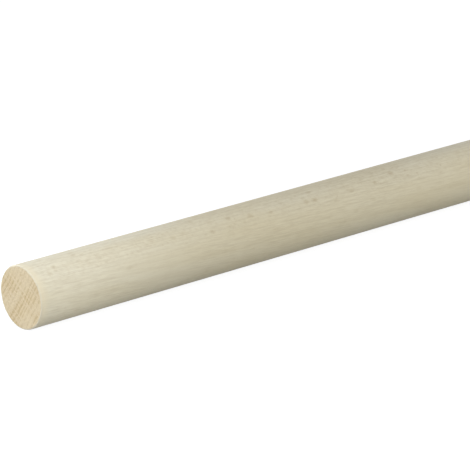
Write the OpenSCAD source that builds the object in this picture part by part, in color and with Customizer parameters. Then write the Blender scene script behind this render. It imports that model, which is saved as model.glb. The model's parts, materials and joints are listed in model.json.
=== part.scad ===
// Round wooden dowel rod: one length of beech machined to a smooth cylinder,
// sawn square at both ends, with the sharp edge round each end eased by sanding.
//
// The rod lies along +X with +Z up. The centre of its near sawn end is the
// origin, and its far sawn end is at X = rod_l.

/* [Rod] */
// Finished diameter of the rod
rod_d = 25; // [6:1:40]
// Length from one sawn end to the other
rod_l = 1000; // [100:10:2400]

/* [Sawn ends] */
// Radius to which the edge round each sawn end is eased
edge_ease = 0.5; // [0.2:0.1:1.5]

/* [Hidden] */
$fn = 128;

// Radius of the smooth side
rod_r = rod_d / 2;
// Radius of the flat, sawn part of each end, inside the eased edge
face_r = rod_r - edge_ease;
// Length of the true cylinder between the two eased edges
side_l = rod_l - 2 * edge_ease;
// Colour of pale, unfinished beech
beech = [0.84, 0.79, 0.68];

// Half of the rod's lengthwise section, from the axis out to the side:
// X is the distance from the axis and Y the distance along the rod.
module half_section() {
    // Flat sawn ends, out to where the easing starts
    square([face_r, rod_l]);
    // Straight side between the eased edges
    translate([0, edge_ease]) square([rod_r, side_l]);
    // Quarter rounds that join the side to the sawn ends
    for (along = [edge_ease, rod_l - edge_ease])
        translate([face_r, along]) circle(r = edge_ease);
}

// The whole rod, turned about its own axis and laid along +X
module dowel_rod() {
    color(beech)
        rotate([0, 90, 0])
            rotate_extrude() half_section();
}

dowel_rod();
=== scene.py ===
"""Blender add-on: one length of beech dowel rod, machined round and sawn square at both ends.

Run as a script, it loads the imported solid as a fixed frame, stands a finely modelled rod of planed and
sawn beech in its place, and sets a plain studio stage with the camera at the photograph's angle.
"""

import json
import math

import bpy
import numpy as np
from bpy.props import FloatProperty, FloatVectorProperty, PointerProperty
from mathutils import Matrix, Vector


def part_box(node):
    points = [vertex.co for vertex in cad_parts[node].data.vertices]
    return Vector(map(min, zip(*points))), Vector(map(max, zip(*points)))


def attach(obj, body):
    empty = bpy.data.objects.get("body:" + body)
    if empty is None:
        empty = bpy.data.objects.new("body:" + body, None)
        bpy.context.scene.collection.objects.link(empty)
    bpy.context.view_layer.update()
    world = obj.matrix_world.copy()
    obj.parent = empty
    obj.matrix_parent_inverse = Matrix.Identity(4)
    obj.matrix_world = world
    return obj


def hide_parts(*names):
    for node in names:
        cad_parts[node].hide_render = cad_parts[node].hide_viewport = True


bl_info = {
    "name": "Beech Dowel Rod",
    "version": (1, 0, 0),
    "blender": (4, 5, 0),
    "location": "View3D > Sidebar > Dowel Rod",
    "description": "Makes a planed beech dowel rod with sawn ends, and a plain stage to look at it on",
    "category": "Add Mesh",
}

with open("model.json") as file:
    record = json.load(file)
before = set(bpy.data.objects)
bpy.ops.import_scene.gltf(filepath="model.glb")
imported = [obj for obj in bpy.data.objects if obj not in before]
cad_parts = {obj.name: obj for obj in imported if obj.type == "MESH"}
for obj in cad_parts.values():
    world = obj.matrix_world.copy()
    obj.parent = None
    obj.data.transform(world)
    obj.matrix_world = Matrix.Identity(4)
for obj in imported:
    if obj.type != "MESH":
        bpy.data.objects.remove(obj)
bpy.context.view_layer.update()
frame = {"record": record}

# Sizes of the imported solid, which the rod here has to keep
MM = 0.001
SHAFT = next(mount["dims"] for mount in frame["record"]["mounts"] if mount["name"] == "shaft")
ROD_LOW, ROD_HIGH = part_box("dowel_rod")
ROD_RADIUS = SHAFT["r_mm"] * MM
ROD_LENGTH = ROD_HIGH.x - ROD_LOW.x
EDGE_EASE = (ROD_LENGTH - SHAFT["length_mm"] * MM) / 2

# Mesh of the rod: columns round it, rings on each sawn face, steps over each eased edge and along the side
COLUMNS = 240
FACE_RINGS = 40
EDGE_STEPS = 8
SIDE_STEPS = 96

# Middle of the saw blade, across and up from the rod's axis, in radii of the blade
BLADE_ACROSS = 0.5
BLADE_UP = 0.85

# Length at each end over which the freshly sanded wood fades into the planed side
SANDED_REACH = 5 * MM

# Refraction of wood, and the level of its gloss: half the usual one, since open fibres scatter light
WOOD_IOR = 1.5
WOOD_GLOSS = 0.25

# Map that the looks are laid out on: the side in strips one above the other, the ends beside them
BAKE_MAP = "OFBake"
SIDE_STRIPS = 4
STRIP_WIDTH = 0.79
MAP_GAP = 0.006

# The picture is square, with this many pixels to a side
IMAGE_PX = 470

# Strength of the floor's own white to the camera, and half its width
FLOOR_WHITE = 0.91
FLOOR_REACH = 30.0

# Tints of the lamps
WARM_WHITE = "#FFFCEF"
COOL_WHITE = "#ECF2FF"
PLAIN_WHITE = "#FFFFFF"


def linear(hex_colour):
    """sRGB hex colour as linear red, green and blue."""
    srgb = np.array([int(hex_colour[i:i + 2], 16) for i in (1, 3, 5)]) / 255
    return tuple(np.where(srgb <= 0.04045, srgb / 12.92, ((srgb + 0.055) / 1.055) ** 2.4).tolist())


class RodSizes(bpy.types.PropertyGroup):
    """Sizes of the rod and of the marks that its making leaves."""

    radius: FloatProperty(
        name="Radius", description="Half the finished diameter", default=ROD_RADIUS, unit="LENGTH")
    length: FloatProperty(
        name="Length", description="From one sawn end to the other", default=ROD_LENGTH, unit="LENGTH")
    edge_ease: FloatProperty(
        name="Edge ease", description="Radius of the sanded edge round each end",
        default=EDGE_EASE, unit="LENGTH")
    edge_wander: FloatProperty(
        name="Edge wander", description="How unevenly the edge was sanded, as a share of its radius",
        default=0.12, subtype="FACTOR")
    saw_depth: FloatProperty(
        name="Saw mark depth", description="Depth of the marks that the saw left on the ends",
        default=0.025 * MM, unit="LENGTH", precision=6)
    saw_pitch: FloatProperty(
        name="Saw mark pitch", description="Distance from one saw mark to the next",
        default=1.3 * MM, unit="LENGTH", precision=5)
    saw_radius: FloatProperty(
        name="Saw radius", description="Radius of the blade, which bends its marks into arcs",
        default=125 * MM, unit="LENGTH")


class BeechFigure(bpy.types.PropertyGroup):
    """How the tree grew, and how the rod was cut from it."""

    pith_distance: FloatProperty(
        name="Pith distance", description="From the rod's axis to the middle of the tree",
        default=200 * MM, unit="LENGTH")
    pith_turn: FloatProperty(
        name="Pith direction", description="Turn round the rod, from the top to the front, to the pith",
        default=math.radians(-57), subtype="ANGLE")
    grain_slope: FloatProperty(
        name="Grain slope", description="How much the grain runs down along the rod",
        default=math.radians(3.5), subtype="ANGLE")
    grain_swing: FloatProperty(
        name="Grain swing", description="How much the grain swings to the back along the rod",
        default=math.radians(0.8), subtype="ANGLE")
    ring_width: FloatProperty(
        name="Ring width", description="Growth of one year", default=1.9 * MM, unit="LENGTH", precision=5)


class BeechColours(bpy.types.PropertyGroup):
    """Colours of the wood where it is planed, sawn and sanded."""

    planed: FloatVectorProperty(
        name="Planed", description="Long grain, at its palest", subtype="COLOR", default=linear("#E3DDC8"))
    planed_warm: FloatVectorProperty(
        name="Planed, warm", description="Long grain, where it is warmer", subtype="COLOR",
        default=linear("#DED4B7"))
    latewood: FloatVectorProperty(
        name="Latewood", description="Dense wood at the end of each ring", subtype="COLOR",
        default=linear("#BCAD8B"))
    ray: FloatVectorProperty(
        name="Ray fleck", description="Rays where they meet the side", subtype="COLOR",
        default=linear("#A68B52"))
    pore: FloatVectorProperty(
        name="Pore", description="Pores, cut open along the side", subtype="COLOR",
        default=linear("#9C8763"))
    sawn: FloatVectorProperty(
        name="Sawn", description="End grain, at its palest", subtype="COLOR", default=linear("#E2D0AA"))
    sawn_warm: FloatVectorProperty(
        name="Sawn, warm", description="End grain, where it is yellower", subtype="COLOR",
        default=linear("#DBC69C"))
    sawn_ring: FloatVectorProperty(
        name="Sawn latewood", description="Ring lines on the end grain", subtype="COLOR",
        default=linear("#AE9160"))
    sawn_ray: FloatVectorProperty(
        name="Sawn ray", description="Rays on the end grain", subtype="COLOR", default=linear("#E2D0AC"))
    sanded: FloatVectorProperty(
        name="Sanded edge", description="Fresh wood on the eased edges", subtype="COLOR",
        default=linear("#E5D9BB"))


class StageSettings(bpy.types.PropertyGroup):
    """Camera, light and floor."""

    azimuth: FloatProperty(
        name="View azimuth", description="Turn of the camera round the rod", subtype="ANGLE",
        default=math.radians(-41.97))
    elevation: FloatProperty(
        name="View elevation", description="Height of the camera above the horizon", subtype="ANGLE",
        default=math.radians(18.38))
    focal_px: FloatProperty(
        name="Focal length", description="Focal length, in pixels of the picture", default=2966)
    end_px: FloatVectorProperty(
        name="Near end in the picture", size=2, default=(20.94, 297.71),
        description="Pixel at the middle of the near sawn end, from the top left")
    end_depth: FloatProperty(
        name="Near end depth", description="Distance of the near sawn end along the view", unit="LENGTH",
        default=1.1096)
    floor: FloatVectorProperty(
        name="Floor", description="Paint that the floor throws light back from", subtype="COLOR",
        default=linear("#8A8D92"))
    sky_level: FloatProperty(
        name="Sky level", description="Even light from all round", default=0.39)
    front_power: FloatProperty(
        name="Front lamp", description="Power of the low lamp in front", default=10.2, unit="POWER")
    left_power: FloatProperty(
        name="Left lamp", description="Power of the lamp that the near end faces",
        default=3.16, unit="POWER")
    top_power: FloatProperty(
        name="Top lamp", description="Power of the small lamp over the near end",
        default=0.0433, unit="POWER", precision=4)
    side_power: FloatProperty(
        name="Side lamp", description="Power of the small low lamp in front of the near end",
        default=0.0092, unit="POWER", precision=4)
    back_power: FloatProperty(
        name="Back lamp", description="Power of the low lamp far behind", default=90.0, unit="POWER")
    far_power: FloatProperty(
        name="Far lamp", description="Power of the lamp past the far end", default=9.0, unit="POWER")


def wire(tree, kind, inputs=None, out=0, **settings):
    """Adds a node of that kind with those settings, sets or links its inputs, and returns one output."""
    node = tree.nodes.new(kind)
    for name, value in settings.items():
        setattr(node, name, value)
    for name, value in (inputs or {}).items():
        if isinstance(value, bpy.types.NodeSocket):
            tree.links.new(value, node.inputs[name])
        else:
            node.inputs[name].default_value = value
    return node.outputs[out]


# Sockets of the colour Mix node, whose names its other sockets share
MIX_FROM, MIX_TO, MIX_COLOUR = 6, 7, 2


def opaque(colour):
    """Colour property as the four numbers that a node's colour socket takes."""
    return (*colour, 1.0)


def empty_material(name):
    """New material with nothing in its node tree but the output, and that output's node."""
    material = bpy.data.materials.new(name)
    material.use_nodes = True
    tree = material.node_tree
    tree.nodes.clear()
    return material, tree, tree.nodes.new("ShaderNodeOutputMaterial")


def cell_scale(*sizes):
    """Scale at which one cell of a pattern, laid out in mm, has these sizes."""
    return tuple(1 / size for size in sizes)


def wood_places(tree, figure):
    """Places in the wood, as sockets by name, from which the side and the ends show one and the same tree.

    The pith is a line beside the rod that the grain runs along. In mm, "grain" holds the distance along it
    and two across it, "across" only those two, and "outward" their length. "plates" holds the distances
    along the pith, out from it and round it, in which rays are flat plates. "object" is the place in the
    rod itself, in metres.
    """
    pith = (
        0,
        -figure.pith_distance * math.sin(figure.pith_turn),
        figure.pith_distance * math.cos(figure.pith_turn),
    )
    place = wire(tree, "ShaderNodeTexCoord", out="Object")
    grain = wire(tree, "ShaderNodeMapping", {
        "Vector": place, "Location": pith,
        "Rotation": (0, figure.grain_slope, figure.grain_swing)}, vector_type="TEXTURE")
    grain = wire(tree, "ShaderNodeVectorMath", {0: grain, 1: (1 / MM,) * 3}, operation="MULTIPLY")
    split = wire(tree, "ShaderNodeSeparateXYZ", {0: grain}).node.outputs
    across = wire(tree, "ShaderNodeVectorMath", {0: grain, 1: (0, 1, 1)}, operation="MULTIPLY")
    outward = wire(tree, "ShaderNodeVectorMath", {0: across}, "Value", operation="LENGTH")
    turn = wire(tree, "ShaderNodeMath", {0: split["Z"], 1: split["Y"]}, operation="ARCTAN2")
    round_pith = wire(
        tree, "ShaderNodeMath", {0: turn, 1: figure.pith_distance / MM}, operation="MULTIPLY")
    plates = wire(tree, "ShaderNodeCombineXYZ", {"X": split["X"], "Y": outward, "Z": round_pith})
    return {"object": place, "grain": grain, "across": across, "outward": outward, "plates": plates}


def ray_bodies(tree, plates, cell, start):
    """Lens-shaped bodies, bent a little, one to a cell of that size in mm: 1 in their middles, 0 outside.

    The cell's sizes are along the grain, along the ray and through it. A body reaches up to 0.6 of them
    from its middle. The pattern is moved by that many cells along the grain.
    """
    cells = wire(tree, "ShaderNodeMapping", {
        "Vector": plates, "Location": (start, 0, 0), "Scale": cell_scale(*cell)})
    bend = wire(tree, "ShaderNodeTexNoise", {"Vector": cells, "Scale": 3, "Detail": 1}, "Color")
    bent = wire(tree, "ShaderNodeVectorMath", {
        0: bend, 1: (0.45, 0.45, 0.45), 2: cells}, operation="MULTIPLY_ADD")
    ray = wire(tree, "ShaderNodeTexVoronoi", {"Vector": bent, "Scale": 1}).node.outputs
    chance = wire(tree, "ShaderNodeSeparateColor", {0: ray["Color"]})
    reach = wire(tree, "ShaderNodeMapRange", {"Value": chance, "To Min": 0.05, "To Max": 0.6})
    depth = wire(tree, "ShaderNodeMath", {0: ray["Distance"], 1: reach}, operation="DIVIDE")
    return wire(tree, "ShaderNodeMapRange", {
        "Value": depth, "From Min": 0.1, "From Max": 1, "To Min": 1, "To Max": 0},
        interpolation_type="SMOOTHSTEP")


def growth_rings(tree, wood, figure):
    """Latewood, from 0 to 1.

    The distance from the pith, bent a little by noise and divided by the ring width, counts the years. In
    each year the wood grows denser from summer on, and the ring ends sharply at the winter.
    """
    # Rings wander by up to 0.35 mm, over 90 mm along the grain and 9 mm across it
    wander = wire(tree, "ShaderNodeMapping", {"Vector": wood["grain"], "Scale": cell_scale(90, 9, 9)})
    wander = wire(tree, "ShaderNodeTexNoise", {"Vector": wander, "Scale": 1, "Detail": 2})
    wander = wire(tree, "ShaderNodeMapRange", {
        "Value": wander, "From Min": 0.3, "From Max": 0.7, "To Min": -0.35, "To Max": 0.35}, clamp=False)
    years = wire(tree, "ShaderNodeMath", {0: wood["outward"], 1: wander}, operation="ADD")
    # Good and poor summers: rings widen and narrow over about 6 mm of growth
    summers = wire(tree, "ShaderNodeMath", {0: years, 1: 1 / 6}, operation="MULTIPLY")
    summers = wire(
        tree, "ShaderNodeTexNoise", {"W": summers, "Scale": 1, "Detail": 1}, noise_dimensions="1D")
    summers = wire(tree, "ShaderNodeMapRange", {
        "Value": summers, "From Min": 0.3, "From Max": 0.7, "To Min": -0.5, "To Max": 0.5}, clamp=False)
    years = wire(tree, "ShaderNodeMath", {0: years, 1: summers}, operation="ADD")
    years = wire(tree, "ShaderNodeMath", {0: years, 1: MM / figure.ring_width}, operation="MULTIPLY")
    season = wire(tree, "ShaderNodeMath", {0: years}, operation="FRACT")
    dense = wire(tree, "ShaderNodeMapRange", {
        "Value": season, "From Min": 0.35, "From Max": 0.85}, interpolation_type="SMOOTHSTEP")
    winter = wire(tree, "ShaderNodeMapRange", {
        "Value": season, "From Min": 0.88, "From Max": 1.0, "To Min": 1, "To Max": 0},
        interpolation_type="SMOOTHSTEP")
    return wire(tree, "ShaderNodeMath", {0: dense, 1: winter}, operation="MULTIPLY")


def ray_flecks(tree, wood):
    """Rays where they meet the side, from 0 to 1: plates along the pith that run straight out from it."""
    plates = wood["plates"]
    # Small rays all through the wood, and large ones in groups about 20 mm long and 6 mm wide. Real ones
    # are thinner and closer together, and would blur into one tone here. The large rays and their groups
    # are moved to where the groups lie much as they do in the photograph.
    small = ray_bodies(tree, plates, cell=(2.6, 2, 0.9), start=0)
    large = ray_bodies(tree, plates, cell=(5, 3.6, 2.6), start=22.2)
    group = wire(tree, "ShaderNodeMapping", {
        "Vector": plates, "Location": (27.1, 2.4, 0), "Scale": cell_scale(20, 6, 6)})
    group = wire(tree, "ShaderNodeTexNoise", {"Vector": group, "Scale": 1, "Detail": 1})
    group = wire(tree, "ShaderNodeMapRange", {
        "Value": group, "From Min": 0.38, "From Max": 0.55, "To Min": 0.3})
    large = wire(tree, "ShaderNodeMath", {0: large, 1: group}, operation="MULTIPLY")
    small = wire(tree, "ShaderNodeMath", {0: small, 1: 0.5}, operation="MULTIPLY")
    fleck = wire(tree, "ShaderNodeMath", {0: small, 1: large}, operation="MAXIMUM")
    # Faint mottling between them, where the smaller rays lie, 1.6 mm tall, 2 mm deep and 0.4 mm thick
    mottle = wire(tree, "ShaderNodeMapping", {"Vector": plates, "Scale": cell_scale(1.6, 2, 0.4)})
    mottle = wire(tree, "ShaderNodeTexNoise", {"Vector": mottle, "Scale": 1, "Detail": 1})
    mottle = wire(tree, "ShaderNodeMapRange", {
        "Value": mottle, "From Min": 0.45, "From Max": 0.75, "To Max": 0.3})
    fleck = wire(tree, "ShaderNodeMath", {0: fleck, 1: mottle}, operation="MAXIMUM")
    # The side shows the rays as flecks where it runs along them, and hardly where it cuts across them
    off_axis = wire(tree, "ShaderNodeVectorMath", {0: wood["object"], 1: (0, 1, 1)}, operation="MULTIPLY")
    off_axis = wire(tree, "ShaderNodeVectorMath", {0: off_axis}, operation="NORMALIZE")
    from_pith = wire(tree, "ShaderNodeVectorMath", {0: wood["across"]}, operation="NORMALIZE")
    crossing = wire(
        tree, "ShaderNodeVectorMath", {0: off_axis, 1: from_pith}, "Value", operation="DOT_PRODUCT")
    crossing = wire(tree, "ShaderNodeMath", {0: crossing}, operation="ABSOLUTE")
    cut_along = wire(tree, "ShaderNodeMapRange", {
        "Value": crossing, "From Min": 0.2, "From Max": 0.65, "To Min": 1, "To Max": 0.3},
        interpolation_type="SMOOTHSTEP")
    return wire(tree, "ShaderNodeMath", {0: fleck, 1: cut_along}, operation="MULTIPLY")


def broad_rays(tree, wood):
    """Broad rays across the end grain, from 0 to 1: sheets 5 mm tall, 10 mm deep and 1.5 mm apart."""
    broad = wire(tree, "ShaderNodeMapping", {"Vector": wood["plates"], "Scale": cell_scale(5, 10, 0.75)})
    broad = wire(tree, "ShaderNodeTexNoise", {"Vector": broad, "Scale": 1, "Detail": 1})
    return wire(tree, "ShaderNodeMapRange", {
        "Value": broad, "From Min": 0.42, "From Max": 0.66}, interpolation_type="SMOOTHSTEP")


def pore_streaks(tree, wood):
    """Pores, from 0 to 1: streaks 7 mm long and 0.5 mm wide, wider than real ones so that they show."""
    pore = wire(tree, "ShaderNodeMapping", {"Vector": wood["grain"], "Scale": cell_scale(7, 0.5, 0.5)})
    pore = wire(tree, "ShaderNodeTexNoise", {"Vector": pore, "Scale": 1, "Detail": 2, "Roughness": 0.6})
    pore = wire(tree, "ShaderNodeMapRange", {"Value": pore, "From Min": 0.38, "From Max": 0.74})
    # Fewer of them in places, in patches 50 mm long and 12 mm wide
    crowd = wire(tree, "ShaderNodeMapping", {"Vector": wood["grain"], "Scale": cell_scale(50, 12, 12)})
    crowd = wire(tree, "ShaderNodeTexNoise", {"Vector": crowd, "Scale": 1, "Detail": 1})
    crowd = wire(tree, "ShaderNodeMapRange", {
        "Value": crowd, "From Min": 0.35, "From Max": 0.65, "To Min": 0.5})
    return wire(tree, "ShaderNodeMath", {0: pore, 1: crowd}, operation="MULTIPLY")


def slow_tone(tree, wood):
    """Slow change of tone, from 0 to 1, over 120 mm along the grain and 16 mm across it."""
    tone = wire(tree, "ShaderNodeMapping", {"Vector": wood["grain"], "Scale": cell_scale(120, 16, 16)})
    tone = wire(tree, "ShaderNodeTexNoise", {"Vector": tone, "Scale": 1, "Detail": 3})
    return wire(tree, "ShaderNodeMapRange", {"Value": tone, "From Min": 0.3, "From Max": 0.7})


def stain(tree, colour, marks):
    """Colour with each mark's paint laid over it, by the mark's pattern times its strength."""
    for pattern, strength, paint in marks:
        share = wire(tree, "ShaderNodeMath", {0: pattern, 1: strength}, operation="MULTIPLY")
        colour = wire(tree, "ShaderNodeMix", {0: share, MIX_FROM: colour, MIX_TO: opaque(paint)},
                      MIX_COLOUR, data_type="RGBA")
    return colour


def bare_wood(tree, output, colour, pore, roughness, dent, depth):
    """Shader of bare wood whose pores are cut open: they are rougher than the rest, and lower.

    Roughness is that of the wood and of its pores. The dent is how strongly the pores' depth is felt.
    """
    smooth, rough = roughness
    roughness = wire(tree, "ShaderNodeMapRange", {"Value": pore, "To Min": smooth, "To Max": rough})
    bump = wire(tree, "ShaderNodeBump", {
        "Height": pore, "Strength": dent, "Distance": depth}, invert=True)
    shader = wire(tree, "ShaderNodeBsdfPrincipled", {
        "Base Color": colour, "Roughness": roughness, "Normal": bump, "IOR": WOOD_IOR,
        "Specular IOR Level": WOOD_GLOSS})
    tree.links.new(shader, output.inputs["Surface"])


def planed_beech(sizes, figure, colours):
    """Planed beech, long grain: pale and satiny, with fine pore dashes and small brown ray flecks."""
    material, tree, output = empty_material("planed_beech")
    wood = wood_places(tree, figure)
    pore = pore_streaks(tree, wood)
    # Sanding left fresh, warmer wood on the edge round each end
    along = wire(tree, "ShaderNodeSeparateXYZ", {0: wood["object"]})
    from_middle = wire(tree, "ShaderNodeMath", {0: along, 1: sizes.length / 2}, operation="SUBTRACT")
    from_middle = wire(tree, "ShaderNodeMath", {0: from_middle}, operation="ABSOLUTE")
    sanded = wire(tree, "ShaderNodeMapRange", {
        "Value": from_middle, "From Min": sizes.length / 2 - SANDED_REACH, "From Max": sizes.length / 2},
        interpolation_type="SMOOTHSTEP")
    colour = stain(tree, opaque(colours.planed), (
        (slow_tone(tree, wood), 1, colours.planed_warm),
        (growth_rings(tree, wood, figure), 0.12, colours.latewood),
        (ray_flecks(tree, wood), 0.34, colours.ray),
        (pore, 0.24, colours.pore),
        (sanded, 0.7, colours.sanded),
    ))
    bare_wood(tree, output, colour, pore, roughness=(0.6, 0.75), dent=0.25, depth=0.03 * MM)
    return material


def sawn_beech(figure, colours):
    """Sawn beech, end grain: matte and yellower, with ring lines that the rays cross and break up."""
    material, tree, output = empty_material("sawn_beech_end_grain")
    wood = wood_places(tree, figure)
    pore = pore_streaks(tree, wood)
    # The saw smeared the rings in places, in patches of about 7 mm
    patch = wire(tree, "ShaderNodeTexNoise", {"Vector": wood["object"], "Scale": 1 / (7 * MM), "Detail": 1})
    patch = wire(tree, "ShaderNodeMapRange", {
        "Value": patch, "From Min": 0.35, "From Max": 0.6, "To Min": 0.3})
    ring = growth_rings(tree, wood, figure)
    clear_ring = wire(tree, "ShaderNodeMath", {0: ring, 1: patch}, operation="MULTIPLY")
    # Darker, yellower blotches of about 8 mm
    warm = wire(tree, "ShaderNodeTexNoise", {"Vector": wood["object"], "Scale": 1 / (8 * MM), "Detail": 1})
    warm = wire(tree, "ShaderNodeMapRange", {"Value": warm, "From Min": 0.35, "From Max": 0.65})
    colour = stain(tree, opaque(colours.sawn), (
        (warm, 1, colours.sawn_warm),
        (clear_ring, 0.5, colours.sawn_ring),
        (broad_rays(tree, wood), 0.75, colours.sawn_ray),
        (pore, 0.4, colours.sawn_ring),
    ))
    bare_wood(tree, output, colour, pore, roughness=(0.75, 0.9), dent=0.4, depth=0.05 * MM)
    return material


def wobble(angle, seed):
    """Uneven line round the rod, between about -1 and 1: five sine waves of 2 to 13 turns, summed."""
    waves = np.array([2, 3, 5, 8, 13])
    starts = np.random.default_rng(seed).uniform(0, 2 * math.pi, len(waves))
    return np.sin(angle[:, None] * waves + starts).sum(1) / math.sqrt(len(waves)) / 1.5


def sawn_end(sizes, angle, seed):
    """Half section of one end, from the middle of the face to the side, at every angle round the rod.

    Distance along the rod and radius are two grids, one row a step. On the face the radius grows evenly,
    and the saw's arcs are a sine wave of the distance from the blade's middle, cut into the wood, which
    fades out towards the edge. Over the edge the half section is a quarter circle, whose radius wobbles
    round the rod.
    """
    ease = sizes.edge_ease * (1 + sizes.edge_wander * wobble(angle, seed))
    face_radius = np.linspace(0, 1, FACE_RINGS + 1)[:, None] * (sizes.radius - ease)
    across, up = -face_radius * np.sin(angle), face_radius * np.cos(angle)
    blade = np.hypot(across - BLADE_ACROSS * sizes.saw_radius, up - BLADE_UP * sizes.saw_radius)
    marks = 0.5 + 0.5 * np.sin(2 * math.pi * blade / sizes.saw_pitch)
    inside = np.clip((sizes.radius - ease - face_radius) / (2 * sizes.edge_ease), 0, 1)
    face_along = sizes.saw_depth * marks * inside
    face_along[0] = face_along[0].mean()
    quarter = np.linspace(0, math.pi / 2, EDGE_STEPS + 1)[1:, None]
    edge_along = ease * (1 - np.cos(quarter))
    edge_radius = sizes.radius - ease * (1 - np.sin(quarter))
    return np.vstack([face_along, edge_along]), np.vstack([face_radius, edge_radius])


def rod_grid(sizes, angle):
    """Whole half section at every angle: the near end, the straight side and the far end, turned round."""
    near_along, near_radius = sawn_end(sizes, angle, seed=3)
    far_along, far_radius = sawn_end(sizes, angle, seed=8)
    far_along = sizes.length - far_along[::-1]
    share = np.linspace(0, 1, SIDE_STEPS + 1)[1:-1, None]
    side_along = near_along[-1] * (1 - share) + far_along[0] * share
    side_radius = np.full_like(side_along, sizes.radius)
    return (np.vstack([near_along, side_along, far_along]),
            np.vstack([near_radius, side_radius, far_radius[::-1]]))


def without_doubles(corners):
    """Face corners in three parts: at a pole two corners of a face are one point, so one is left out."""
    near, side, far = np.split(corners, [COLUMNS, len(corners) - COLUMNS])
    return np.delete(near, 1, axis=1), side, np.delete(far, 3, axis=1)


def bake_places(along, radius, corner_row, corner_column):
    """Places of the face corners on the square map.

    The side is cut into equal lengths, laid one above the other: distance along the rod runs across the
    map, and the angle runs up each strip. Each end, with its edge, is a disc in the column that is left:
    the distance from its pole, measured over the surface, goes out from the disc's middle.
    """
    near_rim = FACE_RINGS + EDGE_STEPS
    far_rim = near_rim + SIDE_STEPS
    turn = corner_column / COLUMNS

    share = np.linspace(0, SIDE_STRIPS, SIDE_STEPS + 1)
    strip = (corner_row.min(1) - near_rim) * SIDE_STRIPS // SIDE_STEPS
    strip = np.clip(strip, 0, SIDE_STRIPS - 1)[:, None]
    step = np.clip(corner_row - near_rim, 0, SIDE_STEPS)
    gap = MAP_GAP * SIDE_STRIPS
    across = MAP_GAP + (STRIP_WIDTH - 2 * MAP_GAP) * (share[step] - strip)
    up = (strip + gap + turn * (1 - 2 * gap)) / SIDE_STRIPS
    place = np.stack([across, up], axis=-1)

    travel = np.hypot(np.diff(along, axis=0), np.diff(radius, axis=0)).mean(1)
    travel = np.concatenate([[0], np.cumsum(travel)])
    disc = (1 - STRIP_WIDTH) / 2 - MAP_GAP
    for on_end, reach, rim, middle in (
            (corner_row.max(1) <= near_rim, travel, near_rim, 0.25),
            (corner_row.min(1) >= far_rim, travel[-1] - travel, far_rim, 0.75)):
        out = disc * reach[corner_row[on_end]] / reach[rim]
        spin = 2 * math.pi * turn[on_end]
        place[on_end] = np.stack([
            (1 + STRIP_WIDTH) / 2 + out * np.cos(spin), middle + out * np.sin(spin)], axis=-1)
    return place


def rod_mesh(sizes):
    """Closed mesh of the rod: each grid point at its distance along X, turned round X by its angle.

    The angle runs from straight up towards the front. Both poles are one point each, and the last column
    of faces meets the first.
    """
    angle = np.arange(COLUMNS) * (2 * math.pi / COLUMNS)
    along, radius = rod_grid(sizes, angle)
    rows = len(along)
    points = np.stack([along, -radius * np.sin(angle), radius * np.cos(angle)], axis=-1)
    points = np.vstack([points[0, :1], points[1:-1].reshape(-1, 3), points[-1, :1]])

    row, column = np.meshgrid(np.arange(rows - 1), np.arange(COLUMNS), indexing="ij")
    corner_row = np.stack([row, row, row + 1, row + 1], axis=-1).reshape(-1, 4)
    corner_column = np.stack([column, column + 1, column + 1, column], axis=-1).reshape(-1, 4)
    point = 1 + (corner_row - 1) * COLUMNS + corner_column % COLUMNS
    point = np.where(corner_row == 0, 0, point)
    point = np.where(corner_row == rows - 1, len(points) - 1, point)
    faces = [face for part in without_doubles(point) for face in part.tolist()]
    mesh = bpy.data.meshes.new("dowel_rod_beech")
    mesh.from_pydata(points.tolist(), [], faces)

    on_face = (row < FACE_RINGS) | (row >= rows - 1 - FACE_RINGS)
    mesh.polygons.foreach_set("material_index", on_face.ravel().astype(np.int32))
    mesh.polygons.foreach_set("use_smooth", np.ones(row.size, dtype=bool))

    place = without_doubles(bake_places(along, radius, corner_row, corner_column))
    layer = mesh.uv_layers.new(name=BAKE_MAP)
    layer.uv.foreach_set("vector", np.concatenate([part.ravel() for part in place]).astype(np.float32))
    return mesh


class DOWEL_OT_make_rod(bpy.types.Operator):
    """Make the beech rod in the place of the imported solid."""

    bl_idname = "dowel.make_rod"
    bl_label = "Make Rod"

    def execute(self, context):
        scene = context.scene
        sizes, figure, colours = scene.dowel_sizes, scene.dowel_figure, scene.dowel_colours
        rod = bpy.data.objects.new("dowel_rod_beech", rod_mesh(sizes))
        scene.collection.objects.link(rod)
        rod.data.materials.append(planed_beech(sizes, figure, colours))
        rod.data.materials.append(sawn_beech(figure, colours))
        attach(rod, "root")
        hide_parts("dowel_rod")
        return {"FINISHED"}


def seen_directly(tree):
    """Socket that is 1 for what the camera sees, straight or by reflection or refraction, else 0."""
    path = wire(tree, "ShaderNodeLightPath").node.outputs
    seen = wire(tree, "ShaderNodeMath", {
        0: path["Is Camera Ray"], 1: path["Is Glossy Ray"]}, operation="MAXIMUM")
    return wire(tree, "ShaderNodeMath", {0: seen, 1: path["Is Transmission Ray"]}, operation="MAXIMUM")


def make_floor(stage):
    """Flat floor under the rod, whose grey paint throws light back.

    To the camera it also shines by itself, so that it is white but for the rod's faint shadow.
    """
    mesh = bpy.data.meshes.new("floor")
    corner = np.array([[-1, -1], [1, -1], [1, 1], [-1, 1]]) * FLOOR_REACH
    mesh.from_pydata([(x, y, -ROD_RADIUS) for x, y in corner.tolist()], [], [(0, 1, 2, 3)])
    material, tree, output = empty_material("white_floor_paint")
    paint = wire(tree, "ShaderNodeBsdfDiffuse", {"Color": opaque(stage.floor)})
    strength = wire(tree, "ShaderNodeMath", {0: seen_directly(tree), 1: FLOOR_WHITE}, operation="MULTIPLY")
    white = wire(tree, "ShaderNodeEmission", {"Color": (1, 1, 1, 1), "Strength": strength})
    shader = wire(tree, "ShaderNodeAddShader", {0: paint, 1: white})
    tree.links.new(shader, output.inputs["Surface"])
    mesh.materials.append(material)
    floor = bpy.data.objects.new("floor", mesh)
    bpy.context.scene.collection.objects.link(floor)


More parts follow.
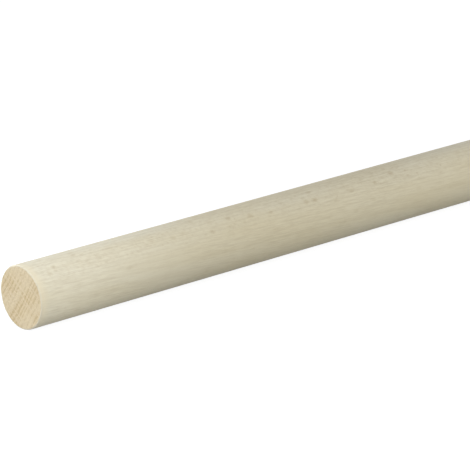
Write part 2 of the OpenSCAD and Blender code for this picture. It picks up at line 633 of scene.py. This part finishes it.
def make_sky(stage):
    """White to the camera, and an even grey light from all round to everything else."""
    world = bpy.data.worlds.new("studio")
    world.use_nodes = True
    tree = world.node_tree
    tree.nodes.clear()
    level = wire(tree, "ShaderNodeMapRange", {
        "Value": seen_directly(tree), "To Min": stage.sky_level, "To Max": 1.0})
    sky = wire(tree, "ShaderNodeBackground", {"Color": (1, 1, 1, 1), "Strength": level})
    output = tree.nodes.new("ShaderNodeOutputWorld")
    tree.links.new(sky, output.inputs["Surface"])
    bpy.context.scene.world = world


def make_lamp(name, place, aim, size, power, tint):
    """Square soft lamp at a place, turned to its aim, which the camera doesn't see."""
    light = bpy.data.lights.new(name, "AREA")
    light.shape = "SQUARE"
    light.size = size
    light.energy = power
    light.color = linear(tint)
    lamp = bpy.data.objects.new(name, light)
    lamp.location = place
    lamp.rotation_mode = "QUATERNION"
    lamp.rotation_quaternion = (Vector(aim) - Vector(place)).to_track_quat("-Z", "Y")
    lamp.visible_camera = False
    bpy.context.scene.collection.objects.link(lamp)


def make_camera(stage):
    """Camera that looks along the given angles and has the near sawn end at its pixel and depth."""
    turn, tilt = stage.azimuth, stage.elevation
    right = Vector((math.cos(turn), math.sin(turn), 0))
    forward = Vector((-math.sin(turn) * math.cos(tilt), math.cos(turn) * math.cos(tilt), -math.sin(tilt)))
    up = right.cross(forward)
    per_px = stage.end_depth / stage.focal_px
    across, down = (pixel - IMAGE_PX / 2 for pixel in stage.end_px)
    data = bpy.data.cameras.new("camera")
    data.sensor_width = 36
    data.lens = data.sensor_width * stage.focal_px / IMAGE_PX
    data.clip_start = 0.01
    data.clip_end = 100
    camera = bpy.data.objects.new("camera", data)
    place = -forward * stage.end_depth - right * across * per_px + up * down * per_px
    camera.matrix_world = Matrix.Translation(place) @ Matrix((right, up, -forward)).transposed().to_4x4()
    bpy.context.scene.collection.objects.link(camera)
    bpy.context.scene.camera = camera


class DOWEL_OT_set_stage(bpy.types.Operator):
    """Set the floor, the light and the camera."""

    bl_idname = "dowel.set_stage"
    bl_label = "Set Stage"

    def execute(self, context):
        stage = context.scene.dowel_stage
        make_floor(stage)
        make_sky(stage)
        # Lamps are turned to the rod's middle or to just inside its near end
        near_end = (10 * MM, 0, 0)
        middle = (ROD_LENGTH / 2, 0, 0)
        make_lamp("front_lamp", place=(0.6, -1.6, 0.3), aim=middle, size=0.6,
                  power=stage.front_power, tint=WARM_WHITE)
        make_lamp("left_lamp", place=(-0.6, 0.15, 0.2), aim=near_end, size=0.25,
                  power=stage.left_power, tint=COOL_WHITE)
        make_lamp("top_lamp", place=(0, 0, 0.11), aim=near_end, size=0.06,
                  power=stage.top_power, tint=COOL_WHITE)
        make_lamp("side_lamp", place=(0, -0.0725, 0.002), aim=near_end, size=0.028,
                  power=stage.side_power, tint=COOL_WHITE)
        make_lamp("back_lamp", place=(-1.5, 6.0, 0.1), aim=middle, size=0.2,
                  power=stage.back_power, tint=PLAIN_WHITE)
        make_lamp("far_lamp", place=(2.0, -0.5, 0.6), aim=middle, size=0.6,
                  power=stage.far_power, tint=PLAIN_WHITE)
        make_camera(stage)
        context.scene.view_settings.view_transform = "Standard"
        return {"FINISHED"}


class DOWEL_PT_panel(bpy.types.Panel):
    """Sizes, figure, colours and stage of the rod, and what makes them."""

    bl_idname = "DOWEL_PT_panel"
    bl_label = "Dowel Rod"
    bl_space_type = "VIEW_3D"
    bl_region_type = "UI"
    bl_category = "Dowel Rod"

    def draw(self, context):
        for group in SETTINGS:
            settings = getattr(context.scene, group)
            box = self.layout.box()
            for name in settings.__annotations__:
                box.prop(settings, name)
        for operator in (DOWEL_OT_set_stage, DOWEL_OT_make_rod):
            self.layout.operator(operator.bl_idname)


SETTINGS = {
    "dowel_sizes": RodSizes,
    "dowel_figure": BeechFigure,
    "dowel_colours": BeechColours,
    "dowel_stage": StageSettings,
}
CLASSES = (*SETTINGS.values(), DOWEL_OT_set_stage, DOWEL_OT_make_rod, DOWEL_PT_panel)


def register():
    for cls in CLASSES:
        bpy.utils.register_class(cls)
    for name, group in SETTINGS.items():
        setattr(bpy.types.Scene, name, PointerProperty(type=group))


def unregister():
    for name in SETTINGS:
        delattr(bpy.types.Scene, name)
    for cls in reversed(CLASSES):
        bpy.utils.unregister_class(cls)


def main():
    register()
    bpy.ops.dowel.set_stage()
    bpy.ops.dowel.make_rod()


if __name__ == "__main__":
    main()
